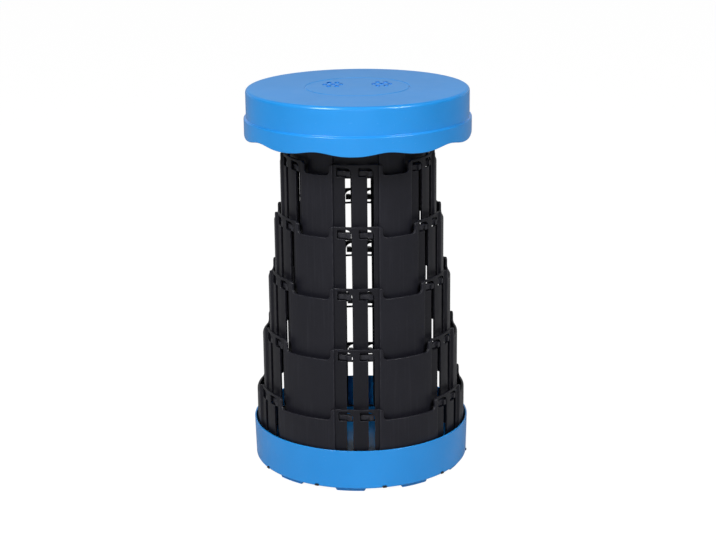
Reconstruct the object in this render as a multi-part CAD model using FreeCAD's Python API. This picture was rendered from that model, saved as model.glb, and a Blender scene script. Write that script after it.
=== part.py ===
import FreeCAD, Part
import math
import os

os.makedirs("parts", exist_ok=True)

# Collapsible stool in moulded plastic, standing raised to its full height
# A seat cover sits on six nested tube rings, and the widest ring stands in a base tray
# Millimetres, +Z up, -Y is the front, and the origin is on the floor at the middle

# Nesting of the tube rings, counted from the smallest ring, under the seat, to the widest
ring_total = 6
top_ring_radius = 80.5
radial_pitch = 8.125
ring_height = 85.0
ring_wall = 2.6
ring_overlap = 17.0
rest_gap = 0.5

# Columns pressed into each ring's wall, with lower panels between them
column_total = 6
column_turn = -2.0
column_half_width = 23.5
column_recess = 2.4
step_width = 2.5
tab_rise = 8.5
shoulder_inset = 0.6
shoulder_width = 2.6
shoulder_corner = 2.0

# Hooked slots that the pegs of the next smaller ring run in
slot_places = (-8.0, 16.0)
slot_width = 7.0
slot_foot_play = 2.0
bend_radius = 7.6
pocket_shift = 9.5
pocket_width = 7.0
pocket_height = 10.4
pocket_below_top = 2.8

# Pegs, each on a shoe that bridges the ring's own slot
peg_width = 4.8
peg_height = 5.8
peg_lift = 0.3
peg_tip_gap = 0.4
shoe_margin = 0.5
shoe_gap = 0.35
shoe_root_inset = 0.5

# Base tray
tray_height = 49.9
tray_wall = 1.9
tray_ring_gap = 0.9
tray_draft = 1.1
tray_rim_rounding = 0.6
tray_foot_bevel = 1.5
tray_wall_foot = 4.35
tray_floor_top = 11.5
tray_floor = 3.0
lug_total = 10
lug_turn = -6.0
lug_span = 17.5
lug_inset = 3.9
lug_wall = 3.0
lug_lift = 0.2
lug_slope = 2.8
rib_wall = 2.0
rib_lift = 5.0
rib_circle_radius = 60.0
rib_foot_gap = 3.5

# Rubber feet under the tray, one between each two lugs, with a tongue pulled through a notch in the wall
foot_side = 8.0
foot_inset = 16.4
tongue_width = 4.6
tongue_height = 1.6
tongue_reach = 1.0
notch_height = 2.0
notch_play = 0.1

# Snap hooks that hold the widest ring down on the tray floor
hook_width = 7.0
hook_play = 0.4
hook_barb = 1.2
hook_barb_height = 2.4
hook_catch_play = 0.2

# Seat cover
cover_plate = 2.8
cover_wall = 2.6
cover_radius = 125.5
cover_rounding = 4.0
cover_rounding_steps = 3
skirt_gap = 0.45
skirt_wall = 2.6
skirt_step_drop = 31.9
skirt_step_rounding = 1.3
skirt_depth = 51.6
wave_total = 10
wave_turn = -3.0
wave_rise = 2.07
wave_sharpness = 0.24
wave_points = 120
groove_radius = 58.5
groove_width = 2.4
groove_depth = 0.8

# Seat ring's socket under the seat cover
socket_gap = 0.25
socket_wall = 1.6
socket_height = 14.0
catch_width = 9.0
catch_height = 4.0
catch_drop = 7.0
catch_reach = 1.3
catch_play = 0.4

# How far a cutting shape reaches past the face that it cuts
cut_margin = 1.0

# Sizes that follow from the ones above
widest = ring_total - 1
up = FreeCAD.Vector(0, 0, 1)
centre = FreeCAD.Vector(0, 0, 0)
stage_travel = ring_height - rest_gap - ring_overlap
peg_middle = ring_overlap - pocket_below_top - pocket_height + peg_lift + peg_height / 2
slot_foot = peg_middle - peg_height / 2 - slot_foot_play
step_angle = math.atan2(column_recess, step_width)
step_shift = ring_wall * math.tan(step_angle / 2)
column_edge = column_half_width + step_width


def ring_radius(index):
    """Outer radius of a ring's panels."""
    return top_ring_radius + radial_pitch * index


def ring_foot(index):
    """Height of a ring's lower edge when the stool is raised."""
    if index == widest:
        return tray_floor_top
    return tray_floor_top + rest_gap + stage_travel * (widest - index)


def ring_top(index):
    """Height of a ring's column tops when the stool is raised."""
    if index == 0:
        return ring_foot(index) + ring_height
    return tray_floor_top + ring_height + stage_travel * (widest - index)


tray_foot_radius = ring_radius(widest) + tray_ring_gap + tray_wall
tray_rim_radius = tray_foot_radius + tray_draft
skirt_radius = tray_rim_radius + skirt_gap + skirt_wall
cover_underside = ring_top(0)
seat_top = cover_underside + cover_plate
skirt_step = seat_top - skirt_step_drop
skirt_middle = seat_top - skirt_depth
tray_floor_low = tray_floor_top - tray_floor
foot_circle = tray_foot_radius - foot_inset
rib_spoke_reach = foot_circle - foot_side / 2 - rib_foot_gap


def place(radius, side, height=0.0):
    """Point at a radius and a sideways distance from the front, before it is turned."""
    return FreeCAD.Vector(side, -math.sqrt(radius**2 - side**2), height)


def turned(shape, degrees):
    """Copy of a shape turned about the stool's axis, to the right as seen from the front."""
    copy = shape.copy()
    copy.rotate(centre, up, degrees)
    return copy


def around(shape, total, first=0.0):
    """Copies of a shape spaced evenly about the stool's axis."""
    return [turned(shape, first + 360.0 / total * k) for k in range(total)]


def lines(points):
    """Straight edges from point to point."""
    return [Part.makeLine(a, b) for a, b in zip(points, points[1:])]


def revolved(points):
    """Solid of revolution about the stool's axis from closed (radius, height) points."""
    corners = [FreeCAD.Vector(r, 0, z) for r, z in points]
    wire = Part.Wire(lines(corners + corners[:1]))
    return Part.Face(wire).revolve(centre, up, 360)


def tube(outer, inner, low, high):
    """Plain round tube between two heights."""
    return revolved([(inner, low), (outer, low), (outer, high), (inner, high)])


def arc(start, middle, end):
    """Edge through three points."""
    return Part.Arc(start, middle, end).toShape()


def quarter(cx, cz, radius, first):
    """Arc of 90 degrees in the front plane, counted from +X towards +Z, starting at first."""
    spots = []
    for degrees in (first, first + 45, first + 90):
        angle = math.radians(degrees)
        spots.append(FreeCAD.Vector(cx + radius * math.cos(angle), 0, cz + radius * math.sin(angle)))
    return arc(*spots)


def front_prism(edges, near, far):
    """Flat outline in the front plane, pushed out towards the front between two radii."""
    face = Part.Face(Part.Wire(edges))
    face.translate(FreeCAD.Vector(0, -near, 0))
    return face.extrude(FreeCAD.Vector(0, near - far, 0))


def wall_outline(radius, half_width, edge):
    """Closed wire round a ring, with its columns set back from its panels."""
    inset = radius - column_recess
    pieces = []
    turn = 360.0 / column_total
    column = [place(radius, -edge), place(inset, -half_width)]
    mirrored = [FreeCAD.Vector(-p.x, p.y, p.z) for p in reversed(column)]
    floor = [arc(column[-1], FreeCAD.Vector(0, -inset, 0), mirrored[0])]
    step = lines(column) + floor + lines(mirrored)
    angle = math.asin(edge / radius)
    last = math.radians(turn) - angle
    spots = []
    for bearing in (angle, (angle + last) / 2, last):
        spots.append(FreeCAD.Vector(radius * math.sin(bearing), -radius * math.cos(bearing), 0))
    panel = [arc(*spots)]
    for k in range(column_total):
        for edge_piece in step + panel:
            copy = edge_piece.copy()
            copy.rotate(centre, up, column_turn + turn * k)
            pieces.append(copy)
    return Part.Wire(Part.__sortEdges__(pieces))


def wall_prism(radius, low, high):
    """A ring's wall between two heights, as thick at its columns as at its panels."""
    outer = Part.Face(wall_outline(radius, column_half_width, column_edge))
    inner_half = column_half_width + step_shift
    inner_edge = column_edge + step_shift
    inner = Part.Face(wall_outline(radius - ring_wall, inner_half, inner_edge))
    height = FreeCAD.Vector(0, 0, high - low)
    prism = outer.extrude(height).cut(inner.extrude(height))
    prism.translate(FreeCAD.Vector(0, 0, low))
    return prism


def tab_outline(panel_top, top):
    """Outline that keeps a column's raised top, with an eased shoulder on each side."""
    side = column_edge + shoulder_inset + shoulder_width
    ease = shoulder_corner
    half = [
        (side - ease, top),
        (side, top - ease),
        (side, panel_top + ease),
        (side + ease, panel_top),
        (side + ease, panel_top - cut_margin),
    ]
    right = [FreeCAD.Vector(x, 0, z) for x, z in half]
    left = [FreeCAD.Vector(-x, 0, z) for x, z in reversed(half)]
    return lines(right + left + right[:1])


def slot_outline(middle, foot, top):
    """Hooked slot: a straight run that bends to the left into the pocket that locks a peg."""
    left = middle - slot_width / 2
    right = middle + slot_width / 2
    pocket_left = middle - pocket_shift - pocket_width / 2
    ceiling = top - pocket_below_top
    floor = ceiling - pocket_height
    bend_x = right - bend_radius
    bend_z = ceiling - bend_radius
    corners = [
        (bend_x, ceiling),
        (pocket_left, ceiling),
        (pocket_left, floor),
        (left, floor),
        (left, foot),
        (right, foot),
        (right, bend_z),
    ]
    edges = lines([FreeCAD.Vector(x, 0, z) for x, z in corners])
    edges.append(quarter(bend_x, bend_z, bend_radius, 0))
    return Part.__sortEdges__(edges)


def slot_cutters(index):
    """All hooked slots of one ring."""
    outer = ring_radius(index)
    cutters = []
    for middle in slot_places:
        edges = slot_outline(middle, ring_foot(index) + slot_foot, ring_top(index))
        cutter = front_prism(edges, outer / 2, outer + cut_margin)
        cutters += around(cutter, column_total, column_turn)
    return cutters


def peg_and_shoe(index, middle):
    """A peg for the next ring's slot, on a shoe that reaches over this ring's own slot."""
    face = ring_radius(index) - column_recess
    next_face = ring_radius(index + 1) - column_recess
    shoe_face = next_face - ring_wall - shoe_gap
    tip = next_face - peg_tip_gap
    low = ring_foot(index) + peg_middle - peg_height / 2
    left = middle - pocket_shift - pocket_width / 2 + shoe_margin
    root = middle - slot_width / 2 - shoe_root_inset
    right = middle + peg_width / 2
    peg_left = middle - peg_width / 2
    inner = face - ring_wall / 2
    clear = FreeCAD.Vector(root, -face, low)
    plan = [
        place(inner, left, low),
        place(inner, root, low),
        clear,
        FreeCAD.Vector(right, -face, low),
        place(tip, right, low),
        place(tip, peg_left, low),
        place(shoe_face, peg_left, low),
        place(shoe_face, left, low),
    ]
    outline = Part.Face(Part.Wire(lines(plan + plan[:1])))
    return outline.extrude(FreeCAD.Vector(0, 0, peg_height))


def tower_ring(index):
    """One tube ring: the wall, its raised column tops, its hooked slots and its pegs."""
    foot = ring_foot(index)
    top = ring_top(index)
    radius = ring_radius(index)
    if index == 0:
        ring = wall_prism(radius, foot, top)
        windows = catch_windows()
        return ring.cut(windows).fuse(ring_pegs(index)).removeSplitter()
    panel_top = top - tab_rise
    wall = wall_prism(radius, foot, top)
    tab = front_prism(tab_outline(panel_top, top), radius / 2, radius + 2 * cut_margin)
    tabs = around(tab, column_total, column_turn)
    upper = tube(radius + cut_margin, radius / 2, panel_top, top + cut_margin).cut(tabs)
    ring = wall.cut(upper).cut(slot_cutters(index))
    if index < widest:
        ring = ring.fuse(ring_pegs(index))
    else:
        ring = ring.fuse(snap_hooks())
    return ring.removeSplitter()


def ring_pegs(index):
    """All pegs of one ring, with their shoes."""
    pegs = []
    for middle in slot_places:
        pegs += around(peg_and_shoe(index, middle), column_total, column_turn)
    return pegs


def between_columns():
    """Bearing of the first panel's middle."""
    return column_turn + 180.0 / column_total


def snap_hooks():
    """Hooks on the widest ring that pass through the tray floor and catch under it."""
    outer = ring_radius(widest)
    inner = outer - ring_wall
    catch = tray_floor_low - hook_catch_play
    tip = catch - hook_barb_height
    profile = [
        (outer, tray_floor_top + ring_wall / 2),
        (inner, tray_floor_top + ring_wall / 2),
        (inner, catch),
        (inner - hook_barb, catch),
        (inner, tip),
        (outer, tip),
    ]
    half = hook_width / 2
    corner = FreeCAD.Vector(-half, -outer - cut_margin, 0)
    block = Part.makeBox(hook_width, outer, tray_height, corner)
    return around(revolved(profile).common(block), column_total, between_columns())


def hook_windows():
    """Windows in the tray floor for the snap hooks."""
    outer = ring_radius(widest) + hook_play / 2
    inner = ring_radius(widest) - ring_wall - hook_barb - hook_play
    low = tray_floor_low - hook_catch_play - hook_barb_height - hook_play
    half = hook_width / 2 + hook_play
    corner = FreeCAD.Vector(-half, -outer - cut_margin, 0)
    block = Part.makeBox(2 * half, outer, tray_height, corner)
    window = tube(outer, inner, low, tray_floor_top + cut_margin).common(block)
    return around(window, column_total, between_columns())


def tray_shell():
    """Turned body of the tray: tapered wall with an eased rim and foot, and the floor."""
    foot_inner = tray_foot_radius - tray_wall
    rim_inner = tray_rim_radius - tray_wall
    rim = tray_rim_rounding
    return revolved([
        (0, tray_floor_low),
        (foot_inner, tray_floor_low),
        (foot_inner, tray_wall_foot),
        (tray_foot_radius - tray_foot_bevel, tray_wall_foot),
        (tray_foot_radius, tray_wall_foot + tray_foot_bevel),
        (tray_rim_radius, tray_height - rim),
        (tray_rim_radius - rim, tray_height),
        (rim_inner + rim, tray_height),
        (rim_inner, tray_height - rim),
        (foot_inner, tray_floor_top),
        (0, tray_floor_top),
    ])


def tray_lugs():
    """Curved lugs under the tray floor, each with sloping ends."""
    outer = tray_foot_radius - lug_inset
    half = outer * math.sin(math.radians(lug_span / 2))
    high = tray_floor_low + tray_floor / 2
    points = [
        FreeCAD.Vector(-half + lug_slope, 0, lug_lift),
        FreeCAD.Vector(half - lug_slope, 0, lug_lift),
        FreeCAD.Vector(half, 0, tray_wall_foot),
        FreeCAD.Vector(half, 0, high),
        FreeCAD.Vector(-half, 0, high),
        FreeCAD.Vector(-half, 0, tray_wall_foot),
    ]
    block = front_prism(lines(points + points[:1]), outer / 2, outer + cut_margin)
    band = tube(outer, outer - lug_wall, lug_lift, high)
    return around(band.common(block), lug_total, lug_turn)


def tray_ribs():
    """Ribs under the tray floor: a circle and the spokes that run out from it."""
    high = tray_floor_low + tray_floor / 2
    half = rib_wall / 2
    circle = tube(rib_circle_radius + half, rib_circle_radius - half, rib_lift, high)
    corner = FreeCAD.Vector(-half, -rib_spoke_reach, rib_lift)
    spoke = Part.makeBox(rib_wall, rib_spoke_reach - rib_circle_radius, high - rib_lift, corner)
    return [circle] + around(spoke, column_total, column_turn)


def foot_bearings():
    """Bearings of the rubber feet, each in the middle of a gap between two lugs."""
    pitch = 360.0 / lug_total
    return [lug_turn + pitch / 2 + pitch * k for k in range(lug_total)]


def foot_notches():
    """Notches in the tray wall's lower edge for the tongues of the rubber feet."""
    width = tongue_width + 2 * notch_play
    corner = FreeCAD.Vector(-width / 2, -tray_rim_radius, tray_wall_foot - cut_margin)
    notch = Part.makeBox(width, tray_rim_radius / 2, notch_height + cut_margin, corner)
    wall = tube(tray_rim_radius, tray_foot_radius - tray_wall - cut_margin, 0, tray_floor_low)
    return [turned(notch.common(wall), bearing) for bearing in foot_bearings()]


def base_tray():
    """The tray that the widest ring stands in."""
    tray = tray_shell().fuse(tray_ribs() + tray_lugs())
    return tray.cut(foot_notches() + hook_windows()).removeSplitter()


def rubber_foot(bearing):
    """One rubber foot: a pad stuck under the tray floor, and its tongue out to the wall."""
    corner = FreeCAD.Vector(-foot_side / 2, -foot_circle - foot_side / 2, 0)
    pad = Part.makeBox(foot_side, foot_side, tray_floor_low, corner)
    reach = tray_foot_radius + tongue_reach
    low = tray_wall_foot + notch_height - notch_play - tongue_height
    corner = FreeCAD.Vector(-tongue_width / 2, -reach, low)
    tongue = Part.makeBox(tongue_width, reach - foot_circle, tongue_height, corner)
    return turned(pad.fuse(tongue).removeSplitter(), bearing)


def wave_height(bearing):
    """Height of the skirt's scalloped lower edge at a bearing in degrees."""
    angle = math.radians(bearing - wave_turn) * wave_total
    return skirt_middle - wave_rise * math.cos(angle) + wave_sharpness * math.cos(2 * angle)


def wave_wire(radius):
    """Closed curve that follows the scalloped edge at a radius."""
    points = []
    for k in range(wave_points):
        bearing = 360.0 / wave_points * k
        angle = math.radians(bearing)
        spot = FreeCAD.Vector(radius * math.sin(angle), -radius * math.cos(angle), wave_height(bearing))
        points.append(spot)
    curve = Part.BSplineCurve()
    curve.interpolate(Points=points, PeriodicFlag=True)
    return curve.toShape()


def wave_cutter():
    """Ring-shaped cutter with a wavy top, which scallops the skirt's lower edge."""
    inner = wave_wire(skirt_radius - 2 * skirt_wall)
    outer = wave_wire(skirt_radius + skirt_wall)
    return Part.makeRuledSurface(inner, outer).extrude(FreeCAD.Vector(0, 0, -6 * wave_rise))


def rounded_corner(radius, height, rounding, steps):
    """Corner of a turned outline, eased by flats from the top face down to the side."""
    points = []
    for k in range(steps + 1):
        angle = math.pi / 2 * (1 - k / steps)
        points.append((radius + rounding * math.cos(angle), height + rounding * math.sin(angle)))
    return points


def cover_shell():
    """Turned body of the seat cover: grooved plate, rounded edge, wall and wider skirt."""
    low = skirt_middle - 3 * wave_rise
    edge_radius = cover_radius - cover_rounding
    edge_height = seat_top - cover_rounding
    step = skirt_step_rounding
    outside = [
        (0, seat_top),
        (groove_radius - groove_width / 2, seat_top),
        (groove_radius, seat_top - groove_depth),
        (groove_radius + groove_width / 2, seat_top),
    ]
    outside += rounded_corner(edge_radius, edge_height, cover_rounding, cover_rounding_steps)
    outside.append((cover_radius, skirt_step))
    outside.append((skirt_radius - step, skirt_step))
    outside.append((skirt_radius, skirt_step - step))
    outside.append((skirt_radius, low))
    skirt_inner = skirt_radius - skirt_wall
    wall_inner = cover_radius - cover_wall
    shelf = skirt_step - skirt_wall
    inside = [
        (skirt_inner, low),
        (skirt_inner, shelf),
        (wall_inner, shelf + (skirt_inner - wall_inner)),
        (wall_inner, cover_underside),
        (0, cover_underside),
    ]
    return revolved(outside + inside)


def socket_inner_radius():
    """Outer radius of the cover's inner socket rib, which stands inside the seat ring."""
    return top_ring_radius - column_recess - ring_wall - socket_gap


def cover_socket():
    """Round rib under the cover that the seat ring is pushed over."""
    high = cover_underside + cover_plate / 2
    inner = socket_inner_radius()
    return tube(inner, inner - socket_wall, cover_underside - socket_height, high)


def cover_catches():
    """Wedges on the inner socket rib that snap into the windows of the seat ring."""
    inner = socket_inner_radius()
    top = cover_underside - catch_drop
    foot = top - catch_height
    profile = [
        (inner - socket_wall / 2, top),
        (inner + socket_gap + catch_reach, top),
        (inner, foot),
        (inner - socket_wall / 2, foot),
    ]
    half = catch_width / 2
    corner = FreeCAD.Vector(-half, -top_ring_radius, 0)
    block = Part.makeBox(catch_width, top_ring_radius, cover_underside, corner)
    return around(revolved(profile).common(block), column_total, column_turn)


def catch_windows():
    """Windows near the top of the seat ring's columns for the cover's catches."""
    half = catch_width / 2 + catch_play
    top = cover_underside - catch_drop + catch_play
    height = catch_height + 2 * catch_play
    corner = FreeCAD.Vector(-half, -top_ring_radius - cut_margin, top - height)
    window = Part.makeBox(2 * half, top_ring_radius / 2, height, corner)
    return around(window, column_total, column_turn)


def seat_cover():
    """The seat: a round cover with a scalloped skirt."""
    cover = cover_shell().cut(wave_cutter())
    return cover.fuse([cover_socket()] + cover_catches()).removeSplitter()


def save(shape, name):
    """Write one piece to its own file."""
    if shape.ShapeType == "Compound" and len(shape.Solids) == 1:
        shape = shape.Solids[0]
    shape.exportStep("parts/" + name + ".step")
    print(name, len(shape.Solids), shape.isValid(), round(shape.Volume / 1000.0, 2))


save(seat_cover(), "seat_cover")
for index in range(ring_total):
    save(tower_ring(index), "tower_ring_%d" % (index + 1))
save(base_tray(), "base_tray")
for number, bearing in enumerate(foot_bearings()):
    save(rubber_foot(bearing), "rubber_foot_%02d" % (number + 1))
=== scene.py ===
import bmesh
import bpy
import math
from mathutils import Matrix, Vector
from mathutils.geometry import delaunay_2d_cdt


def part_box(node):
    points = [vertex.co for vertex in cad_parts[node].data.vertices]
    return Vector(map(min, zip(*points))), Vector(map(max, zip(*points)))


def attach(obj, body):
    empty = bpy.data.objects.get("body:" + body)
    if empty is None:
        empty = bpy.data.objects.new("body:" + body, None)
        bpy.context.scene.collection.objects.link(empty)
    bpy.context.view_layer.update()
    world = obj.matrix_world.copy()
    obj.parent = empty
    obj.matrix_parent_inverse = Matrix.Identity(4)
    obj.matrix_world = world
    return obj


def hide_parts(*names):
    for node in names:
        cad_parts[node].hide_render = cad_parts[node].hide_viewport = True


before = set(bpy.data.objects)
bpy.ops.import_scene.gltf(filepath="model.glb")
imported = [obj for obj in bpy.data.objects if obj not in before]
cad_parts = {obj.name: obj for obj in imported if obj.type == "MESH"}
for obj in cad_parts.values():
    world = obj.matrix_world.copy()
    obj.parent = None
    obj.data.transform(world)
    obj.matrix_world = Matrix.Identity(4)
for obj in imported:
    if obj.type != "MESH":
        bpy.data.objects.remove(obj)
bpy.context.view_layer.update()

# Shapes are drawn in millimetres and brought to metres as they are made into meshes
MM = 0.001
ROUND_SEGMENTS = 360
SEAM = 0.002
RING_TOTAL = 6

# Heights come from the frame, in millimetres
RING_BOX = [[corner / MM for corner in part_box("tower_ring_%d" % (k + 1))] for k in range(RING_TOTAL)]
SEAT_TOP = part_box("seat_cover")[1].z / MM
TRAY_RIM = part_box("base_tray")[1].z / MM
LUG_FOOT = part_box("base_tray")[0].z / MM
PAD_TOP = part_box("rubber_foot_01")[1].z / MM

# Tube rings
TOP_RADIUS = 80.5
RADIAL_PITCH = 8.125
RING_WALL = 2.6
COLUMN_TOTAL = 6
COLUMN_TURN = -2.0
COLUMN_RECESS = 2.4
STEP_MIDDLE = 24.75
STEP_WIDTH = 2.7
STEP_SHIFT = 1.05

# A sixth of a ring ends at half the ring's radius, and its outline reaches past that, to be cut there
OUTLINE_REACH = 0.6

# Raised column tops, over panels that stand a little lower than in the solids, as in the photograph
TAB_RISE = 12.4
TAB_SIDE = 29.2
TAB_ROUNDING = 3.4
TAB_HOLLOW = 4.6

# Edges of the rings, and the bends in degrees between which an edge begins to look worn and to carry a
# painted highlight
EDGE_ROUNDING = 0.55
EDGE_BENDS = (19.0, 27.0)

# Hooked slots and their pegs
SLOT_PLACES = (-8.0, 16.0)
SLOT_WIDTH = 7.0
SLOT_FOOT = 2.1
BEND_RADIUS = 7.6
POCKET_SHIFT = 9.5
POCKET_WIDTH = 7.0
POCKET_HEIGHT = 10.4
POCKET_BELOW_TOP = 2.8
CORNER_ROUNDING = 0.9
PEG_WIDTH = 4.8
PEG_HEIGHT = 5.8
PEG_FOOT = 4.1
PEG_TIP_GAP = 0.4
SHOE_MARGIN = 0.5
SHOE_GAP = 0.35
SHOE_ROOT_INSET = 0.5
PEG_ROUNDING = 0.45

# Seat cover
COVER_RADIUS = 125.5
COVER_WALL = 2.6
COVER_PLATE = 2.8
COVER_ROUNDING = 4.0
SKIRT_RADIUS = 128.075
SKIRT_STEP_DROP = 31.9
SKIRT_DEPTH = 51.6
SHELF_SLOPE = 2.0
HEM_BAND = 2.0
SCALLOPS = 10
SCALLOP_TURN = -3.0
SCALLOP_RISE = 2.07
SCALLOP_SHARPNESS = 0.24
GROOVE_RADIUS = 58.5
GROOVE_WIDTH = 2.4
GROOVE_DEPTH = 0.8
SEAT_MIDDLE_RADIUS = GROOVE_RADIUS - GROOVE_WIDTH / 2 - 2.0
DIMPLE_WIDTH = 3.7
DIMPLE_LENGTH = 6.6
DIMPLE_DEPTH = 2.1
DIMPLE_PITCH = 9.0
DIMPLE_SEGMENTS = 32
DIMPLES_ROUND = 6
ROSETTE_STRETCH = 1.45
ROSETTE_SIDE = 27.6
ROSETTE_BACK = 15.0
SOCKET_RADIUS = 75.25
SOCKET_WALL = 1.6
SOCKET_HEIGHT = 14.0
CATCH_WIDTH = 9.0
CATCH_HEIGHT = 4.0
CATCH_DROP = 7.0
CATCH_REACH = 1.3
CATCH_PLAY = 0.4
CATCH_WINDOW_CORNER = 0.6

# Base tray
TRAY_FOOT_RADIUS = 123.925
TRAY_DRAFT = 1.1
TRAY_WALL = 1.9
TRAY_WALL_FOOT = 4.35
TRAY_FLOOR_TOP = 11.5
TRAY_FLOOR = 3.0
FLOOR_BITE = 0.4
LUGS = 10
LUG_TURN = -6.0
LUG_SPAN = 17.5
LUG_RADIUS = 120.025
LUG_WALL = 3.0
LUG_SLOPE = 2.8
LUG_CORNER = 1.2
LUG_ROUNDING = 0.35
RIB_WALL = 2.0
RIB_FOOT = 5.0
RIB_CIRCLE = 60.0
SPOKE_REACH = 100.025
HOOK_WIDTH = 7.0
HOOK_PLAY = 0.4
HOOK_BARB = 1.2
HOOK_BARB_HEIGHT = 2.4
HOOK_CATCH_PLAY = 0.2
HOOK_ROOT = 1.5
HOOK_ROUNDING = 0.25

# Rubber feet, each a pad with a tongue through a notch in the tray's wall
PAD_SIDE = 8.0
PAD_CIRCLE = 107.525
TONGUE_WIDTH = 4.6
TONGUE_FOOT = 4.65
TONGUE_HEIGHT = 1.6
TONGUE_REACH = 124.925
NOTCH_HALF = 2.4
NOTCH_HEIGHT = 2.0

# Studio floor, in metres from the middle to a side
FLOOR_HALF = 30.0


class Value:
    """A socket that takes part in sums: an expression on values adds its Math nodes."""

    def __init__(self, net, socket):
        self.net = net
        self.socket = socket

    def sum(self, operation, *terms):
        return self.net.add("ShaderNodeMath", {"operation": operation}, *terms)

    def __add__(self, other):
        return self.sum("ADD", self, other)

    def __sub__(self, other):
        return self.sum("SUBTRACT", self, other)

    def __rsub__(self, other):
        return self.sum("SUBTRACT", other, self)

    def __mul__(self, other):
        return self.sum("MULTIPLY", self, other)

    def __truediv__(self, other):
        return self.sum("DIVIDE", self, other)

    __radd__ = __add__
    __rmul__ = __mul__


class Net:
    """A node tree under construction, for a material, the world or a shape."""

    def __init__(self, tree):
        self.tree = tree

    def add(self, kind, settings=None, *places, output=0, **named):
        """One node: its settings, then what its sockets hold or link to, and the output to go on with."""
        node = self.tree.nodes.new(kind)
        for name, value in (settings or {}).items():
            setattr(node, name, value)
        for place, value in list(enumerate(places)) + list(named.items()):
            if isinstance(place, str):
                place = place.replace("_", " ")
            socket = node.inputs[place]
            if isinstance(value, Value):
                self.tree.links.new(value.socket, socket)
            elif value is not None:
                socket.default_value = value
        return Value(self, node.outputs[output]) if len(node.outputs) else None

    def ramp(self, value, low, high):
        """Smooth climb from 0 at low to 1 at high."""
        settings = {"interpolation_type": "SMOOTHSTEP"}
        return self.add("ShaderNodeMapRange", settings, Value=value, From_Min=low, From_Max=high)

    def noise(self, place, scale, detail=2.0, roughness=0.5):
        """Soft random variation about 0.5 at a place."""
        return self.add("ShaderNodeTexNoise", {}, Vector=place, Scale=scale, Detail=detail,
                        Roughness=roughness)

    def stretched(self, place, scale):
        """A place scaled differently along each axis."""
        return self.add("ShaderNodeMapping", {}, Vector=place, Scale=scale)


def colour_mix(net, share, first, second):
    """Colour that goes from the first to the second as the share goes from 0 to 1."""
    node = net.tree.nodes.new("ShaderNodeMix")
    node.data_type = "RGBA"
    node.clamp_factor = True
    # The colours of this node are its inputs 6 and 7 and its output 2
    for place, value in ((0, share), (6, first), (7, second)):
        if isinstance(value, Value):
            net.tree.links.new(value.socket, node.inputs[place])
        else:
            node.inputs[place].default_value = value
    return Value(net, node.outputs[2])


def new_material(name, viewport):
    """Empty material with its net and the place on the object that its patterns read."""
    material = bpy.data.materials.new(name)
    material.use_nodes = True
    material.node_tree.nodes.clear()
    material.diffuse_color = viewport
    net = Net(material.node_tree)
    place = net.add("ShaderNodeTexCoord", {}, output="Object")
    return material, net, place


def finish_material(net, **sockets):
    """Principled shader with the given sockets, linked to the material's output."""
    shader = net.add("ShaderNodeBsdfPrincipled", {}, **sockets)
    net.add("ShaderNodeOutputMaterial", {}, Surface=shader)


def blue_plastic():
    """Glossy blue moulding with a satin seat face: flow shades, faint orange peel and hairline scuffs."""
    material, net, place = new_material("blue_moulding", (0.03, 0.27, 0.75, 1))
    height = net.add("ShaderNodeSeparateXYZ", {}, Vector=place, output="Z")
    satin = net.ramp(height, (SEAT_TOP - 2.2) * MM, (SEAT_TOP - 0.9) * MM)
    flow = net.noise(place, 14.0, 3.0)
    fleck = net.noise(place, 900.0)
    shade = net.ramp(flow * 0.8 + fleck * 0.2, 0.3, 0.7)
    colour = colour_mix(net, shade, (0.0150, 0.276, 0.745, 1), (0.0190, 0.298, 0.790, 1))
    haze = net.noise(place, 55.0, 4.0, 0.6)
    scuffs = net.noise(net.stretched(place, (60.0, 900.0, 900.0)), 1.0, 3.0)
    hairlines = net.ramp(scuffs, 0.66, 0.76)
    roughness = 0.19 + haze * 0.1 + hairlines * 0.04 + satin * 0.16
    peel = net.noise(place, 150.0, 2.0)
    grain = net.noise(place, 2600.0, 2.0)
    relief = peel * 0.7 + grain * (0.2 + satin * 0.5) + hairlines * -0.03
    bump = net.add("ShaderNodeBump", {}, Strength=0.22, Distance=0.00012, Height=relief)
    finish_material(net, Base_Color=colour, Roughness=roughness, IOR=1.49, Normal=bump)
    return material


def black_plastic():
    """Satin black moulding: fine grain, wipe marks, a grey bloom, painted shade on the recessed columns, and
    worn edges lightened partly as a painted highlight.
    """
    material, net, place = new_material("black_moulding", (0.02, 0.02, 0.022, 1))
    edge = net.add("ShaderNodeAttribute", {"attribute_name": "edge"}, output="Fac")
    # Value of 1 on the recessed column faces, used below for painted shade
    recess_shade = net.add("ShaderNodeAttribute", {"attribute_name": "recess_shade"}, output="Fac")
    bloom = net.noise(place, 22.0, 4.0, 0.6)
    streaks = net.noise(net.stretched(place, (420.0, 420.0, 14.0)), 1.0, 3.0)
    wiped = net.ramp(streaks, 0.5, 0.75)
    # Lighter colour on the rounded edges: partly wear, partly a painted highlight
    wear_and_highlight = edge * net.ramp(net.noise(place, 180.0, 3.0), 0.3, 0.6)
    shade = net.ramp(bloom * 0.7 + wiped * 0.3, 0.25, 0.75)
    panel = colour_mix(net, shade, (0.0100, 0.0100, 0.0152, 1), (0.0148, 0.0148, 0.0210, 1))
    # Recessed column faces are darkened toward near-black: painted shade
    shaded_panel = colour_mix(net, recess_shade * 0.8, panel, (0.0055, 0.0055, 0.0090, 1))
    colour = colour_mix(net, wear_and_highlight, shaded_panel, (0.032, 0.032, 0.039, 1))
    grain = net.noise(place, 1900.0, 3.0, 0.6)
    roughness = 0.38 + bloom * 0.1 + grain * 0.06 - wiped * 0.06 - edge * 0.1
    relief = grain * 0.7 + streaks * 0.3
    bump = net.add("ShaderNodeBump", {}, Strength=0.35, Distance=0.00012, Height=relief)
    finish_material(net, Base_Color=colour, Roughness=roughness, IOR=1.46, Specular_IOR_Level=0.3,
                    Normal=bump)
    return material


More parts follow.
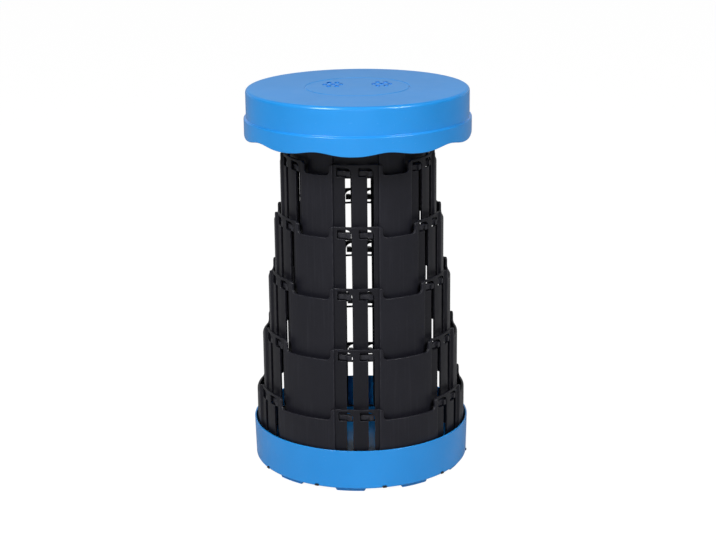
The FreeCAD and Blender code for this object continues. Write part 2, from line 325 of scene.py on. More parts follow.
def foot_rubber():
    """Matt dark rubber with a fine grain and pale dust in its low places."""
    material, net, place = new_material("bumper_rubber", (0.02, 0.02, 0.02, 1))
    grain = net.noise(place, 1500.0, 4.0, 0.7)
    dust = net.ramp(net.noise(place, 260.0, 3.0), 0.5, 0.8)
    colour = colour_mix(net, dust * 0.5, (0.014, 0.014, 0.015, 1), (0.05, 0.048, 0.045, 1))
    bump = net.add("ShaderNodeBump", {}, Strength=0.5, Distance=0.0002, Height=grain)
    finish_material(net, Base_Color=colour, Roughness=0.74 + dust * 0.16, Normal=bump)
    return material


def seen_share(net, straight, mirrored):
    """Share of a white background that a ray sees: one value for the camera, one for mirrors and glass."""
    camera, glossy, glass = [net.add("ShaderNodeLightPath", {}, output=name) for name in
                             ("Is Camera Ray", "Is Glossy Ray", "Is Transmission Ray")]
    return camera.sum("MAXIMUM", camera * straight, glossy.sum("MAXIMUM", glossy, glass) * mirrored)


def floor_material():
    """Studio floor: white to the camera with a share of the shadow, dim in mirrors, less so behind."""
    material, net, place = new_material("studio_floor", (0.9, 0.9, 0.9, 1))
    behind = net.ramp(net.add("ShaderNodeSeparateXYZ", {}, Vector=place, output="Y"), -0.2, 1.4)
    matt = net.add("ShaderNodeBsdfDiffuse", {}, Color=(0.55, 0.55, 0.55, 1))
    white = net.add("ShaderNodeEmission", {}, Color=(1, 1, 1, 1), Strength=1.15)
    share = seen_share(net, 0.85, 0.02 + behind * 0.12)
    surface = net.add("ShaderNodeMixShader", {}, share, matt, white)
    net.add("ShaderNodeOutputMaterial", {}, Surface=surface)
    return material


BLUE = blue_plastic()
BLACK = black_plastic()
RUBBER = foot_rubber()


def shape_net(name, inputs):
    """Empty shape tree with a geometry in, a geometry out and named inputs, as its net and input values."""
    tree = bpy.data.node_groups.new(name, "GeometryNodeTree")
    tree.interface.new_socket("Geometry", in_out="INPUT", socket_type="NodeSocketGeometry")
    tree.interface.new_socket("Geometry", in_out="OUTPUT", socket_type="NodeSocketGeometry")
    for label, kind in inputs.items():
        tree.interface.new_socket(label, in_out="INPUT", socket_type="NodeSocket" + kind)
    net = Net(tree)
    start = tree.nodes.new("NodeGroupInput")
    values = {socket.name: Value(net, socket) for socket in start.outputs if socket.name}
    return net, values


def turned_copies_tree():
    """Tree that repeats a moulded sector or detail about the stool's axis and joins the seams."""
    net, given = shape_net("turned_copies", {
        "Copies": "Int", "First Bearing": "Float", "Seam": "Float", "Material": "Material"})
    spots = net.add("GeometryNodePoints", {}, Count=given["Copies"])
    number = net.add("GeometryNodeInputIndex")
    angle = given["First Bearing"] + number * math.tau / given["Copies"]
    turn = net.add("FunctionNodeAxisAngleToRotation", {}, Axis=(0, 0, 1), Angle=angle)
    copies = net.add("GeometryNodeInstanceOnPoints", {}, Points=spots, Instance=given["Geometry"],
                     Rotation=turn)
    joined = net.add("GeometryNodeRealizeInstances", {}, Geometry=copies)
    sewn = net.add("GeometryNodeMergeByDistance", {}, Geometry=joined, Distance=given["Seam"])
    painted = net.add("GeometryNodeSetMaterial", {}, Geometry=sewn, Material=given["Material"])
    net.add("NodeGroupOutput", {}, Geometry=painted)
    return net.tree


def scalloped_hem_tree():
    """Tree that waves the lower edge of a turned skirt, where its hem value is 1."""
    net, given = shape_net("scalloped_hem", {
        "Scallops": "Int", "Turn": "Float", "Rise": "Float", "Sharpness": "Float", "Material": "Material"})
    position = net.add("GeometryNodeInputPosition")
    across = net.add("ShaderNodeSeparateXYZ", {}, Vector=position, output="X")
    along = net.add("ShaderNodeSeparateXYZ", {}, Vector=position, output="Y")
    bearing = across.sum("ARCTAN2", across, along * -1.0)
    wave = (bearing - given["Turn"]) * given["Scallops"]
    drop = given["Sharpness"] * wave.sum("COSINE", wave * 2.0) - given["Rise"] * wave.sum("COSINE", wave)
    hem = net.add("GeometryNodeInputNamedAttribute", {"data_type": "FLOAT"}, Name="hem")
    shift = net.add("ShaderNodeCombineXYZ", {}, Z=drop * hem)
    waved = net.add("GeometryNodeSetPosition", {}, Geometry=given["Geometry"], Offset=shift)
    joined = net.add("GeometryNodeRealizeInstances", {}, Geometry=waved)
    painted = net.add("GeometryNodeSetMaterial", {}, Geometry=joined, Material=given["Material"])
    net.add("NodeGroupOutput", {}, Geometry=painted)
    return net.tree


TURNED_COPIES = turned_copies_tree()
SCALLOPED_HEM = scalloped_hem_tree()


def plain_mesh(shape, name="draft"):
    """Mesh of a bmesh, which is used up."""
    mesh = bpy.data.meshes.new(name)
    shape.to_mesh(mesh)
    shape.free()
    return mesh


def merged(meshes):
    """One bmesh of several meshes and bmeshes, which are used up."""
    whole = bmesh.new()
    for mesh in meshes:
        if isinstance(mesh, bmesh.types.BMesh):
            mesh = plain_mesh(mesh)
        whole.from_mesh(mesh)
        bpy.data.meshes.remove(mesh)
    return whole


def shaped(shape, tree, **given):
    """Plain mesh that a shape tree makes of a bmesh, with the tree's named inputs."""
    mesh = plain_mesh(shape)
    draft = bpy.data.objects.new("draft", mesh)
    bpy.context.scene.collection.objects.link(draft)
    modifier = draft.modifiers.new("shape", "NODES")
    modifier.node_group = tree
    for item in tree.interface.items_tree:
        label = item.name.replace(" ", "_")
        if item.in_out == "INPUT" and label in given:
            modifier[item.identifier] = given[label]
    evaluated = draft.evaluated_get(bpy.context.evaluated_depsgraph_get())
    result = bpy.data.meshes.new_from_object(evaluated)
    draft.modifiers.remove(modifier)
    bpy.data.objects.remove(draft)
    bpy.data.meshes.remove(mesh)
    return result


def around(shape, copies, material, first=0.0, seam=0.0):
    """Plain mesh of a shape repeated about the axis, its seams joined where the seam is over zero."""
    return shaped(shape, TURNED_COPIES, Copies=copies, First_Bearing=math.radians(first),
                  Seam=seam * MM, Material=material)


def rounded(corners, steps=6):
    """Closed outline through corners (x, y, radius), each eased by an arc of its radius."""
    points = []
    for k, (x, y, radius) in enumerate(corners):
        corner = Vector((x, y))
        before = (Vector(corners[k - 1][:2]) - corner).normalized()
        after = (Vector(corners[(k + 1) % len(corners)][:2]) - corner).normalized()
        half = before.angle(after) / 2
        if radius <= 0 or half > math.pi / 2 - 0.001:
            points.append(corner)
            continue
        middle = corner + (before + after).normalized() * radius / math.sin(half)
        start = corner + before * radius / math.tan(half) - middle
        sweep = math.copysign(math.pi - 2 * half, -before.cross(after))
        for step in range(steps + 1):
            points.append(middle + Matrix.Rotation(sweep * step / steps, 2) @ start)
    return points


def moved_in(corners, amount):
    """Corners of an outline, counter-clockwise, moved into it by an amount. A negative one moves them out."""
    result = []
    for k, (x, y, radius) in enumerate(corners):
        corner = Vector((x, y))
        arriving = (corner - Vector(corners[k - 1][:2])).normalized()
        leaving = (Vector(corners[(k + 1) % len(corners)][:2]) - corner).normalized()
        normal_in, normal_out = Vector((-arriving.y, arriving.x)), Vector((-leaving.y, leaving.x))
        shift = (normal_in + normal_out) * amount / (1 + normal_in.dot(normal_out))
        outward = arriving.cross(leaving) > 0
        eased = max(0.0, radius - amount) if outward else max(0.0, radius + amount)
        result.append((x + shift.x, y + shift.y, eased if radius > 0 else 0.0))
    return result


def is_between(outlines, spot):
    """Whether a spot is inside an odd number of the closed outlines."""
    inside = False
    for outline in outlines:
        for a, b in zip(outline, outline[1:] + outline[:1]):
            if (a.y > spot.y) != (b.y > spot.y):
                if spot.x < a.x + (b.x - a.x) * (spot.y - a.y) / (b.y - a.y):
                    inside = not inside
    return inside


def filled(outlines, cuts=(), limit=math.inf):
    """Flat triangles between closed outlines, divided along upright cuts: points and faces."""
    points, edges = [], []
    for outline in outlines:
        first = len(points)
        points += outline
        edges += [(first + k, first + (k + 1) % len(outline)) for k in range(len(outline))]
    low = min(point.y for point in points) - 1.0
    high = max(point.y for point in points) + 1.0
    for cut in cuts:
        edges.append((len(points), len(points) + 1))
        points += [Vector((cut, low)), Vector((cut, high))]
    found = delaunay_2d_cdt(points, edges, [], 0, 1e-4)
    spots, faces = found[0], []
    for face in found[2]:
        middle = sum((spots[k] for k in face), Vector((0, 0))) / 3
        if abs(middle.x) < limit and is_between(outlines, middle):
            faces.append(face)
    return spots, faces


def edge_normals(spots, faces, limit):
    """Outward direction at each spot on the edge of flat triangles, leaving out edges on the seam."""
    sides = {}
    for face in faces:
        for a, b in zip(face, face[1:] + face[:1]):
            sides[(a, b)] = True
    rim = [(a, b) for a, b in sides if (b, a) not in sides]
    rim = [(a, b) for a, b in rim if not (abs(abs(spots[a].x) - limit) < 1e-3 > abs(abs(spots[b].x) - limit))]
    normals = {}
    for a, b in rim:
        along = (spots[b] - spots[a]).normalized()
        for k in (a, b):
            normals.setdefault(k, []).append(Vector((along.y, -along.x)))
    mitred = {}
    for k, found in normals.items():
        total = sum(found, Vector((0, 0)))
        mitred[k] = total / (1 + found[0].dot(found[1])) if len(found) == 2 else total.normalized()
    return rim, mitred


def moulded(outlines, wall, place, rounding, cuts=(), limit=math.inf, steps=3):
    """Even wall over a flat pattern, its edges rounded, set in space by place(side, up, depth)."""
    spots, faces = filled(outlines, cuts, limit)
    rim, normals = edge_normals(spots, faces, limit)
    rows = []
    for step in range(1, steps + 1):
        angle = math.pi / 2 * step / steps
        rows.append((rounding * math.sin(angle), rounding * (1 - math.cos(angle))))
    rows += [(grow, wall - depth) for grow, depth in reversed(rows)]
    shape = bmesh.new()
    used = sorted({k for face in faces for k in face})
    front = {k: shape.verts.new(place(spots[k].x, spots[k].y, 0.0) * MM) for k in used}
    back = {k: shape.verts.new(place(spots[k].x, spots[k].y, wall) * MM) for k in used}
    ladders = {}
    for k, normal in normals.items():
        ladder = [front[k]]
        for grow, depth in rows:
            spot = spots[k] + normal * grow
            ladder.append(shape.verts.new(place(spot.x, spot.y, depth) * MM))
        ladders[k] = ladder + [back[k]]
    for face in faces:
        shape.faces.new([front[k] for k in face])
        shape.faces.new([back[k] for k in reversed(face)])
    for a, b in rim:
        for step in range(len(rows) + 1):
            low, high = ladders[a][step:step + 2], ladders[b][step:step + 2]
            shape.faces.new((low[0], low[1], high[1], high[0]))
    return shape


def closed_profile(corners, steps):
    """Rounded outline of (radius, height) points that ends where it starts."""
    profile = rounded(corners, steps)
    return profile + profile[:1]


def turned_profile(profile, bearings, closed=True):
    """Skin of revolution through (radius, height) points at a list of bearings in degrees."""
    shape = bmesh.new()
    rows = []
    for bearing in bearings:
        angle = math.radians(bearing)
        across = Vector((math.sin(angle), -math.cos(angle), 0))
        rows.append([shape.verts.new((across * r + Vector((0, 0, z))) * MM) for r, z in profile])
    total = len(profile)
    pairs = zip(rows, rows[1:] + rows[:1]) if closed else zip(rows, rows[1:])
    for left, right in pairs:
        for k in range(total - 1):
            shape.faces.new((left[k], left[k + 1], right[k + 1], right[k]))
    bmesh.ops.remove_doubles(shape, verts=shape.verts, dist=1e-7)
    return shape


def prism(outline, place, low, high, rounding):
    """Solid between two levels of a flat outline, with all its edges rounded."""
    shape = bmesh.new()
    ends = [[shape.verts.new(place(x, y, level) * MM) for x, y in outline] for level in (low, high)]
    shape.faces.new(reversed(ends[0]))
    shape.faces.new(ends[1])
    for k in range(len(outline)):
        after = (k + 1) % len(outline)
        shape.faces.new((ends[0][k], ends[0][after], ends[1][after], ends[1][k]))
    bmesh.ops.recalc_face_normals(shape, faces=shape.faces)
    if rounding:
        bmesh.ops.bevel(shape, geom=list(shape.edges), offset=rounding * MM, segments=2,
                        profile=0.5, affect="EDGES", clamp_overlap=True)
    return shape


def upright(x, y, level):
    """Outline in plan, levels are heights."""
    return Vector((x, y, level))


def facing(x, z, level):
    """Outline seen from the right side as (radius, height), levels go across the front."""
    return Vector((level, -x, z))


def mark_edges(shape):
    """Edge value of 1 on rounded outer edges, which the black material lightens as wear and as a painted
    highlight, and 0 elsewhere.
    """
    layer = shape.verts.layers.float.get("edge") or shape.verts.layers.float.new("edge")
    low, high = [math.radians(bend) for bend in EDGE_BENDS]
    for vert in shape.verts:
        bend = max([edge.calc_face_angle_signed(0) for edge in vert.link_edges], default=0)
        vert[layer] = min(1.0, max(0.0, (bend - low) / (high - low)))


def piece(name, meshes, material, body, slot, *nodes):
    """One visible piece made of meshes, which rides on a body and stands for CAD nodes."""
    shape = merged(meshes)
    bmesh.ops.recalc_face_normals(shape, faces=shape.faces)
    mark_edges(shape)
    whole = bpy.data.meshes.new(name)
    shape.to_mesh(whole)
    shape.free()
    whole.materials.clear()
    whole.materials.append(material)
    whole.shade_smooth()
    made = bpy.data.objects.new(name, whole)
    bpy.context.scene.collection.objects.link(made)
    weights = made.modifiers.new("even shading", "WEIGHTED_NORMAL")
    weights.weight = 90
    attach(made, body)
    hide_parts(*nodes)
    return made


def at_bearing(bearing, reach, height):
    """Point at a bearing from the front, in radians, and a distance from the axis."""
    return Vector((reach * math.sin(bearing), -reach * math.cos(bearing), height))


def on_circle(radius, side, height=0.0):
    """Point at a radius and a sideways distance from the front."""
    return Vector((side, -math.sqrt(radius**2 - side**2), height))


def ring_radius(index):
    """Outer radius of a ring's panels."""
    return TOP_RADIUS + RADIAL_PITCH * index


def recess_share(side, middle):
    """How far the wall has stepped back into a column: 0 on a panel, 1 in the column."""
    share = (middle + STEP_WIDTH / 2 - abs(side)) / STEP_WIDTH
    share = min(1.0, max(0.0, share))
    return share * share * (3 - 2 * share)


def ring_surface(radius):
    """How a ring's flat pattern lies in space, as a function of side, height and depth."""
    border = radius / 2

    def place(side, height, depth):
        outer = radius - COLUMN_RECESS * recess_share(side, STEP_MIDDLE)
        inner = radius - RING_WALL - COLUMN_RECESS * recess_share(side, STEP_MIDDLE + STEP_SHIFT)
        share = depth / RING_WALL
        near_border = min(1.0, (border - abs(side)) / (border - TAB_SIDE - TAB_HOLLOW))
        outer_bearing = math.asin(side / outer)
        inner_bearing = outer_bearing + (math.asin(side / inner) - outer_bearing) * near_border
        bearing = outer_bearing + (inner_bearing - outer_bearing) * share
        reach = outer + (inner - outer) * share
        return at_bearing(bearing, reach, height)

    return place


def ring_cuts(radius):
    """Upright lines that a ring's flat pattern is bent along."""
    border = radius / 2
    step_low = STEP_MIDDLE - STEP_WIDTH / 2
    step_high = STEP_MIDDLE + STEP_WIDTH / 2 + STEP_SHIFT
    in_column, in_step, in_panel = 7, 11, 9
    cuts = [step_low * k / in_column for k in range(in_column)]
    cuts += [step_low + (step_high - step_low) * k / in_step for k in range(in_step)]
    cuts += [step_high + (border - step_high) * k / in_panel for k in range(in_panel + 1)]
    return sorted({round(sign * cut, 4) for cut in cuts for sign in (-1, 1)})


def tab_corners(foot, top, past):
    """Outline of one sixth of a ring: its foot, its panels and the raised top of its column."""
    panel_top = top - TAB_RISE
    return [
        (-past, foot, 0), (past, foot, 0), (past, panel_top, 0),
        (TAB_SIDE, panel_top, TAB_HOLLOW), (TAB_SIDE, top, TAB_ROUNDING),
        (-TAB_SIDE, top, TAB_ROUNDING), (-TAB_SIDE, panel_top, TAB_HOLLOW),
        (-past, panel_top, 0),
    ]


def slot_corners(middle, foot, top):
    """Hooked slot: a straight run that bends to the left into the pocket."""
    left, right = middle - SLOT_WIDTH / 2, middle + SLOT_WIDTH / 2
    pocket_left = middle - POCKET_SHIFT - POCKET_WIDTH / 2
    ceiling = top - POCKET_BELOW_TOP
    floor = ceiling - POCKET_HEIGHT
    return [
        (pocket_left, floor, CORNER_ROUNDING), (left, floor, CORNER_ROUNDING),
        (left, foot + SLOT_FOOT, CORNER_ROUNDING), (right, foot + SLOT_FOOT, CORNER_ROUNDING),
        (right, ceiling, BEND_RADIUS), (pocket_left, ceiling, CORNER_ROUNDING),
    ]


def catch_window_corners(top):
    """Window in the seat ring for one of the cover's catches."""
    half = CATCH_WIDTH / 2 + CATCH_PLAY
    high = top - CATCH_DROP + CATCH_PLAY
    low = high - CATCH_HEIGHT - 2 * CATCH_PLAY
    return [(side, level, CATCH_WINDOW_CORNER)
            for side, level in ((-half, low), (half, low), (half, high), (-half, high))]


def ring_wall(index, foot, top):
    """The wall of a ring: one sixth of it, repeated round the axis."""
    radius = ring_radius(index)
    past = OUTLINE_REACH * radius
    if index == 0:
        edge = [(-past, foot, 0), (past, foot, 0), (past, top, 0), (-past, top, 0)]
        holes = [catch_window_corners(top)]
    else:
        edge = tab_corners(foot, top, past)
        holes = [slot_corners(middle, foot, top) for middle in SLOT_PLACES]
    outlines = [rounded(moved_in(edge, EDGE_ROUNDING))]
    outlines += [rounded(moved_in(hole, -EDGE_ROUNDING)) for hole in holes]
    sector = moulded(outlines, RING_WALL, ring_surface(radius), EDGE_ROUNDING,
                     ring_cuts(radius), radius / 2)
    # Depth into the recessed column, which the black material reads to paint shade there
    layer = sector.verts.layers.float.new("recess_shade")
    for vert in sector.verts:
        depth = radius - vert.co.xy.length / MM
        vert[layer] = min(1.0, max(0.0, depth / COLUMN_RECESS))
    return around(sector, COLUMN_TOTAL, BLACK, COLUMN_TURN, seam=SEAM)


def peg_plan(index, middle):
    """Plan of a peg and the shoe that carries it over the ring's own slot."""
    face = ring_radius(index) - COLUMN_RECESS
    next_face = ring_radius(index + 1) - COLUMN_RECESS
    left = middle - POCKET_SHIFT - POCKET_WIDTH / 2 + SHOE_MARGIN
    root = middle - SLOT_WIDTH / 2 - SHOE_ROOT_INSET
    right, peg_left = middle + PEG_WIDTH / 2, middle - PEG_WIDTH / 2
    inner, tip = face - RING_WALL / 2, next_face - PEG_TIP_GAP
    shoe_face = next_face - RING_WALL - SHOE_GAP
    plan = [on_circle(inner, left), on_circle(inner, root), Vector((root, -face, 0)),
            Vector((right, -face, 0)), on_circle(tip, right), on_circle(tip, peg_left),
            on_circle(shoe_face, peg_left), on_circle(shoe_face, left)]
    return [(point.x, point.y) for point in plan]


def ring_pegs(index, foot):
    """All the pegs of a ring."""
    low = foot + PEG_FOOT
    pegs = []
    for middle in SLOT_PLACES:
        peg = prism(peg_plan(index, middle), upright, low, low + PEG_HEIGHT, PEG_ROUNDING)
        pegs.append(around(peg, COLUMN_TOTAL, BLACK, COLUMN_TURN))
    return pegs


def snap_hooks():
    """Hooks of the widest ring that pass through the tray floor and catch under it."""
    outer = ring_radius(RING_TOTAL - 1)
    inner = outer - RING_WALL
    catch = TRAY_FLOOR_TOP - TRAY_FLOOR - HOOK_CATCH_PLAY
    tip = catch - HOOK_BARB_HEIGHT
    root = TRAY_FLOOR_TOP + HOOK_ROOT
    side = [(outer, root), (inner, root), (inner, catch),
            (inner - HOOK_BARB, catch), (inner, tip), (outer, tip)]
    hook = prism(side, facing, -HOOK_WIDTH / 2, HOOK_WIDTH / 2, HOOK_ROUNDING)
    return around(hook, COLUMN_TOTAL, BLACK, COLUMN_TURN + 180.0 / COLUMN_TOTAL)


def make_rings():
    """The six tube rings, each on the body that it slides with."""
    bodies = ["seat", "stage_2", "stage_3", "stage_4", "stage_5", "base"]
    for index, body in enumerate(bodies):
        top = RING_BOX[index][1].z
        foot = TRAY_FLOOR_TOP if body == "base" else RING_BOX[index][0].z
        meshes = [ring_wall(index, foot, top)]
        meshes += [snap_hooks()] if body == "base" else ring_pegs(index, foot)
        node = "tower_ring_%d" % (index + 1)
        piece(node + "_moulding", meshes, BLACK, body, "black_rings", node)


def rosette_spots():
    """Middles of the dimples of the seat's two rosettes: one in the middle and the others round it."""
    spots = [Vector((0, 0))]
    for k in range(DIMPLES_ROUND):
        angle = math.tau / DIMPLES_ROUND * k
        spots.append(Vector((math.cos(angle), ROSETTE_STRETCH * math.sin(angle))) * DIMPLE_PITCH)
    middles = [Vector((side, ROSETTE_BACK)) for side in (-ROSETTE_SIDE, ROSETTE_SIDE)]
    return [middle + spot for middle in middles for spot in spots]


def oval(middle, share):
    """Outline of a dimple at a share of its full width and length."""
    turns = [math.tau * k / DIMPLE_SEGMENTS for k in range(DIMPLE_SEGMENTS)]
    reach = Vector((DIMPLE_WIDTH * share, DIMPLE_LENGTH * share))
    return [middle + Vector((reach.x * math.cos(turn), reach.y * math.sin(turn))) for turn in turns]


def seat_middle():
    """Flat middle of the seat inside its groove, with the two rosettes pressed in."""
    turns = [math.tau * k / ROUND_SEGMENTS for k in range(ROUND_SEGMENTS)]
    rim = [Vector((math.sin(turn), -math.cos(turn))) * SEAT_MIDDLE_RADIUS for turn in turns]
    bowl = rounded([(0, 0, 0), (1, 0, 0.16), (0.8, -1, 0.25), (0, -1, 0)], 5)[1:]
    spots = rosette_spots()
    points, faces = filled([rim] + [oval(spot, bowl[0].x) for spot in spots])
    shape = bmesh.new()
    verts = [shape.verts.new(Vector((point.x, point.y, SEAT_TOP)) * MM) for point in points]
    for face in faces:
        shape.faces.new([verts[k] for k in face])
    for spot in spots:
        rows = []
        for share, depth in bowl:
            height = SEAT_TOP + depth * DIMPLE_DEPTH
            rows.append([shape.verts.new(Vector((point.x, point.y, height)) * MM)
                         for point in oval(spot, share)])
        for outer, inner in zip(rows, rows[1:]):
            for k in range(DIMPLE_SEGMENTS):
                after = (k + 1) % DIMPLE_SEGMENTS
                shape.faces.new((outer[k], outer[after], inner[after], inner[k]))
    bmesh.ops.remove_doubles(shape, verts=shape.verts, dist=1e-6)
    loose = [vert for vert in shape.verts if not vert.link_faces]
    bmesh.ops.delete(shape, geom=loose, context="VERTS")
    return shape


def cover_skin():
    """Turned skin of the seat cover round its flat middle, with its hem marked for the scallops."""
    step = SEAT_TOP - SKIRT_STEP_DROP
    hem = SEAT_TOP - SKIRT_DEPTH
    underside = SEAT_TOP - COVER_PLATE
    lip = GROOVE_RADIUS - GROOVE_WIDTH / 2
    skirt_inner = SKIRT_RADIUS - COVER_WALL
    wall_inner = COVER_RADIUS - COVER_WALL
    shelf = step - COVER_WALL
    socket_inner = SOCKET_RADIUS - SOCKET_WALL
    socket_low = underside - SOCKET_HEIGHT
    corners = [
        (SEAT_MIDDLE_RADIUS, SEAT_TOP, 0), (lip, SEAT_TOP, 0.3),
        (GROOVE_RADIUS, SEAT_TOP - GROOVE_DEPTH, 0.4),
        (lip + GROOVE_WIDTH, SEAT_TOP, 0.3),
        (COVER_RADIUS, SEAT_TOP, COVER_ROUNDING), (COVER_RADIUS, step, 1.0),
        (SKIRT_RADIUS, step, 1.5), (SKIRT_RADIUS, hem, 0.9), (skirt_inner, hem, 0.9),
        (skirt_inner, shelf, 1.0), (wall_inner, shelf + SHELF_SLOPE, 0.8), (wall_inner, underside, 1.5),
        (SOCKET_RADIUS, underside, 0.6), (SOCKET_RADIUS, socket_low, 0.5),
        (socket_inner, socket_low, 0.5), (socket_inner, underside, 0.6), (0, underside, 0),
    ]
    profile = rounded(corners, 8)
    shape = turned_profile(profile, [360.0 / ROUND_SEGMENTS * k for k in range(ROUND_SEGMENTS)])
    layer = shape.verts.layers.float.new("hem")
    for vert in shape.verts:
        vert[layer] = 1.0 if vert.co.z < (hem + HEM_BAND) * MM else 0.0
    return shape


def cover_catches():
    """Wedges on the socket rib that snap into the seat ring's windows."""
    top = SEAT_TOP - COVER_PLATE - CATCH_DROP
    foot = top - CATCH_HEIGHT
    side = [(SOCKET_RADIUS - SOCKET_WALL / 2, top), (SOCKET_RADIUS + CATCH_REACH, top),
            (SOCKET_RADIUS, foot), (SOCKET_RADIUS - SOCKET_WALL / 2, foot)]
    catch = prism(side, facing, -CATCH_WIDTH / 2, CATCH_WIDTH / 2, 0.2)
    return around(catch, COLUMN_TOTAL, BLUE, COLUMN_TURN)


def make_seat_cover():
    """The seat cover: grooved top with rosettes, rounded edge, wall and scalloped skirt."""
    skin = shaped(cover_skin(), SCALLOPED_HEM, Scallops=SCALLOPS, Turn=math.radians(SCALLOP_TURN),
                  Rise=SCALLOP_RISE * MM, Sharpness=SCALLOP_SHARPNESS * MM, Material=BLUE)
    whole = merged([skin, seat_middle()])
    bmesh.ops.remove_doubles(whole, verts=whole.verts, dist=2e-6)
    piece("seat_cover_moulding", [whole, cover_catches()], BLUE, "seat", "blue_shell", "seat_cover")


def tray_bearings():
    """Bearings across one notch and the wall beside it, closer together at the notch's sides."""
    side = math.degrees(NOTCH_HALF / TRAY_FOOT_RADIUS)
    border, clear, parts = 180.0 / LUGS, 0.3, 14
    bearings = [0.0, side / 2, side - 0.02, side + 0.06]
    bearings += [side + clear + (border - side - clear) * k / parts for k in range(parts + 1)]
    return sorted({round(sign * bearing, 5) for bearing in bearings for sign in (-1, 1)})


def tray_wall():
    """Wall of the tray: one tenth of it with a notch, repeated round the axis."""
    foot_inner = TRAY_FOOT_RADIUS - TRAY_WALL
    rim_radius = TRAY_FOOT_RADIUS + TRAY_DRAFT
    corners = [
        (foot_inner, TRAY_WALL_FOOT, 0.3), (TRAY_FOOT_RADIUS, TRAY_WALL_FOOT, 1.5),
        (rim_radius, TRAY_RIM, 0.6), (rim_radius - TRAY_WALL, TRAY_RIM, 0.6),
    ]
    shape = turned_profile(closed_profile(corners, 6), tray_bearings(), closed=False)
    notch = NOTCH_HALF / TRAY_FOOT_RADIUS
    for vert in shape.verts:
        is_low = vert.co.z < (TRAY_WALL_FOOT + NOTCH_HEIGHT) * MM
        if is_low and abs(math.atan2(vert.co.x, -vert.co.y)) < notch:
            vert.co.z += NOTCH_HEIGHT * MM
    return around(shape, LUGS, BLUE, LUG_TURN + 180.0 / LUGS, seam=SEAM)


def tray_lugs():
    """Curved lugs under the tray floor, each with sloping ends."""
    half = math.radians(LUG_SPAN / 2) * LUG_RADIUS
    high = TRAY_FLOOR_TOP - TRAY_FLOOR / 2
    corners = [
        (-half + LUG_SLOPE, LUG_FOOT, LUG_CORNER), (half - LUG_SLOPE, LUG_FOOT, LUG_CORNER),
        (half, TRAY_WALL_FOOT, LUG_CORNER), (half, high, 0), (-half, high, 0),
        (-half, TRAY_WALL_FOOT, LUG_CORNER),
    ]
    outline = rounded(moved_in(corners, LUG_ROUNDING))

    def place(side, height, depth):
        bearing, reach = side / LUG_RADIUS, LUG_RADIUS - depth
        return at_bearing(bearing, reach, height)

    cuts = [half * k / 8 for k in range(-7, 8)]
    return around(moulded([outline], LUG_WALL, place, LUG_ROUNDING, cuts), LUGS, BLUE, LUG_TURN)


def tray_floor():
    """Floor of the tray, with a window for each snap hook."""
    reach = TRAY_FOOT_RADIUS - TRAY_WALL + FLOOR_BITE
    turns = [math.tau * k / ROUND_SEGMENTS for k in range(ROUND_SEGMENTS)]
    rim = [Vector((reach * math.sin(-turn), reach * math.cos(turn))) for turn in turns]
    outer = ring_radius(RING_TOTAL - 1)
    half = HOOK_WIDTH / 2 + HOOK_PLAY
    far, near = -outer - HOOK_PLAY / 2, -outer + RING_WALL + HOOK_BARB + HOOK_PLAY
    window = rounded([(-half, far, 0.5), (half, far, 0.5), (half, near, 0.5), (-half, near, 0.5)], 4)
    outlines = [rim]
    for k in range(COLUMN_TOTAL):
        bearing = COLUMN_TURN + 180.0 / COLUMN_TOTAL + 360.0 / COLUMN_TOTAL * k
        turn = Matrix.Rotation(math.radians(bearing), 2)
        outlines.append([turn @ point for point in window])

    def place(x, y, depth):
        return Vector((x, y, TRAY_FLOOR_TOP - depth))

    return moulded(outlines, TRAY_FLOOR, place, 0.15, steps=2)


def tray_ribs():
    """Ribs under the tray floor: a circle and the spokes that run out from it."""
    high = TRAY_FLOOR_TOP - TRAY_FLOOR / 2
    half = RIB_WALL / 2
    corners = [(RIB_CIRCLE - half, RIB_FOOT, 0.4), (RIB_CIRCLE + half, RIB_FOOT, 0.4),
               (RIB_CIRCLE + half, high, 0), (RIB_CIRCLE - half, high, 0)]
    circle = turned_profile(closed_profile(corners, 3), [2.0 * k for k in range(180)])
    plan = [(-half, -SPOKE_REACH), (half, -SPOKE_REACH), (half, -RIB_CIRCLE), (-half, -RIB_CIRCLE)]
    spoke = prism(plan, upright, RIB_FOOT, high, 0.35)
    return [circle, around(spoke, COLUMN_TOTAL, BLUE, COLUMN_TURN)]


def make_tray():
    """The base tray: its notched wall, its floor, and the lugs and ribs under it."""
    meshes = [tray_wall(), tray_floor(), tray_lugs()] + tray_ribs()
    piece("base_tray_moulding", meshes, BLUE, "base", "blue_shell", "base_tray")


def make_feet():
    """Ten rubber feet: a pad stuck under the tray floor, and its tongue through the wall's notch."""
    half, side = PAD_SIDE / 2, TONGUE_WIDTH / 2
    for number in range(LUGS):
        plan = [(-half, -PAD_CIRCLE - half), (half, -PAD_CIRCLE - half),
                (half, -PAD_CIRCLE + half), (-half, -PAD_CIRCLE + half)]
        pad = prism(plan, upright, 0, PAD_TOP, 0.5)
        strip = [(-side, -TONGUE_REACH), (side, -TONGUE_REACH), (side, -PAD_CIRCLE), (-side, -PAD_CIRCLE)]
        tongue = prism(strip, upright, TONGUE_FOOT, TONGUE_FOOT + TONGUE_HEIGHT, 0.3)
        bearing = math.radians(LUG_TURN + 180.0 / LUGS + 360.0 / LUGS * number)
        for shape in (pad, tongue):
            bmesh.ops.rotate(shape, verts=shape.verts, matrix=Matrix.Rotation(bearing, 3, "Z"))
        node = "rubber_foot_%02d" % (number + 1)
        piece(node + "_bumper", [pad, tongue], RUBBER, "base", "foot_rubber", node)


def make_floor():
    """Plain pale floor."""
    shape = bmesh.new()
    bmesh.ops.create_grid(shape, x_segments=1, y_segments=1, size=FLOOR_HALF)
    mesh = plain_mesh(shape, "studio_floor")
    mesh.materials.append(floor_material())
    floor = bpy.data.objects.new("studio_floor", mesh)
    bpy.context.scene.collection.objects.link(floor)


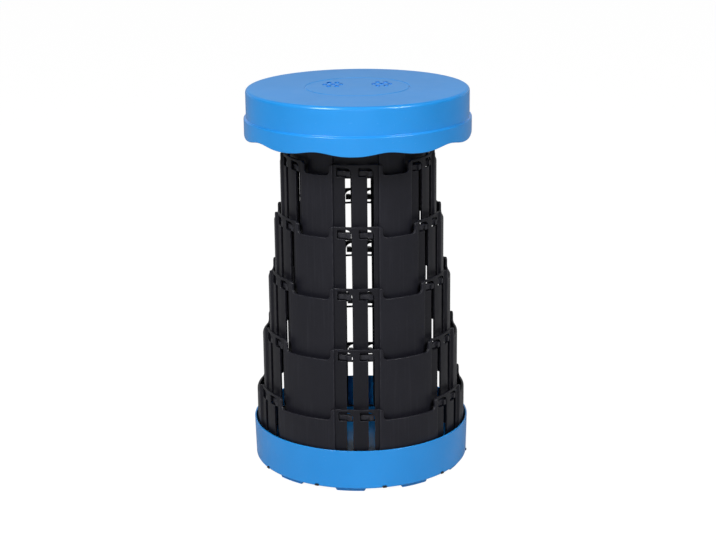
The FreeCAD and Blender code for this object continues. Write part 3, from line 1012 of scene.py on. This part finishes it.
def aim(item, spot, target):
    """Place a lamp or camera at a spot, looking at a target."""
    item.location = spot
    item.rotation_euler = (Vector(target) - Vector(spot)).to_track_quat("-Z", "Y").to_euler()


def softbox(name, bearing, elevation, distance, width, height, power):
    """Soft rectangular lamp at a bearing from the front, to the right, and an elevation."""
    lamp = bpy.data.lights.new(name, "AREA")
    lamp.shape = "RECTANGLE"
    lamp.size, lamp.size_y, lamp.energy = width, height, power
    made = bpy.data.objects.new(name, lamp)
    bpy.context.scene.collection.objects.link(made)
    turn, rise = math.radians(bearing), math.radians(elevation)
    away = Vector((math.sin(turn) * math.cos(rise), -math.cos(turn) * math.cos(rise), math.sin(rise)))
    target = Vector((0, 0, 0.25))
    aim(made, target + away * distance, target)


def make_light():
    """White studio: a background that is brightest low behind the stool, two softboxes and a front fill."""
    world = bpy.data.worlds.new("studio")
    world.use_nodes = True
    world.node_tree.nodes.clear()
    bpy.context.scene.world = world
    net = Net(world.node_tree)
    place = net.add("ShaderNodeTexCoord", {}, output="Generated")
    back = net.add("ShaderNodeSeparateXYZ", {}, Vector=place, output="Y")
    up = net.add("ShaderNodeSeparateXYZ", {}, Vector=place, output="Z")
    strength = 0.1 + net.ramp(back - up * 0.6, 0.3, 0.8) * 0.56
    fill = net.add("ShaderNodeBackground", {}, Color=(1.0, 1.0, 1.0, 1), Strength=strength)
    white = net.add("ShaderNodeBackground", {}, Color=(1, 1, 1, 1), Strength=1.0)
    seen = net.add("ShaderNodeLightPath", {}, output="Is Camera Ray")
    surface = net.add("ShaderNodeMixShader", {}, seen, fill, white)
    net.add("ShaderNodeOutputWorld", {}, Surface=surface)
    softbox("left_softbox", -38.0, 40.0, 2.6, 0.7, 0.9, 49.0)
    softbox("right_softbox", 47.0, 40.0, 2.6, 0.7, 0.9, 33.0)
    softbox("front_fill", 0.0, 12.0, 3.0, 1.6, 1.2, 8.0)


def make_camera():
    """Camera at the photograph's angle: distance, height, dip and roll fitted to the stool's ellipses."""
    photo_width = 716.0
    focal_pixels = 1659.3
    centre_offset = 1.37
    camera = bpy.data.cameras.new("photo_camera")
    camera.sensor_width = 36.0
    camera.lens = focal_pixels * camera.sensor_width / photo_width
    camera.shift_x = -centre_offset / photo_width
    made = bpy.data.objects.new("photo_camera", camera)
    bpy.context.scene.collection.objects.link(made)
    spot, dip, roll = (0, -1.8386, 0.7577), 0.2827, -0.0109
    made.matrix_world = (Matrix.Translation(spot)
                         @ Matrix.Rotation(math.pi / 2 - dip, 4, "X") @ Matrix.Rotation(roll, 4, "Z"))
    bpy.context.scene.camera = made


make_rings()
make_seat_cover()
make_tray()
make_feet()
make_floor()
make_light()
make_camera()
bpy.context.scene.view_settings.view_transform = "Standard"
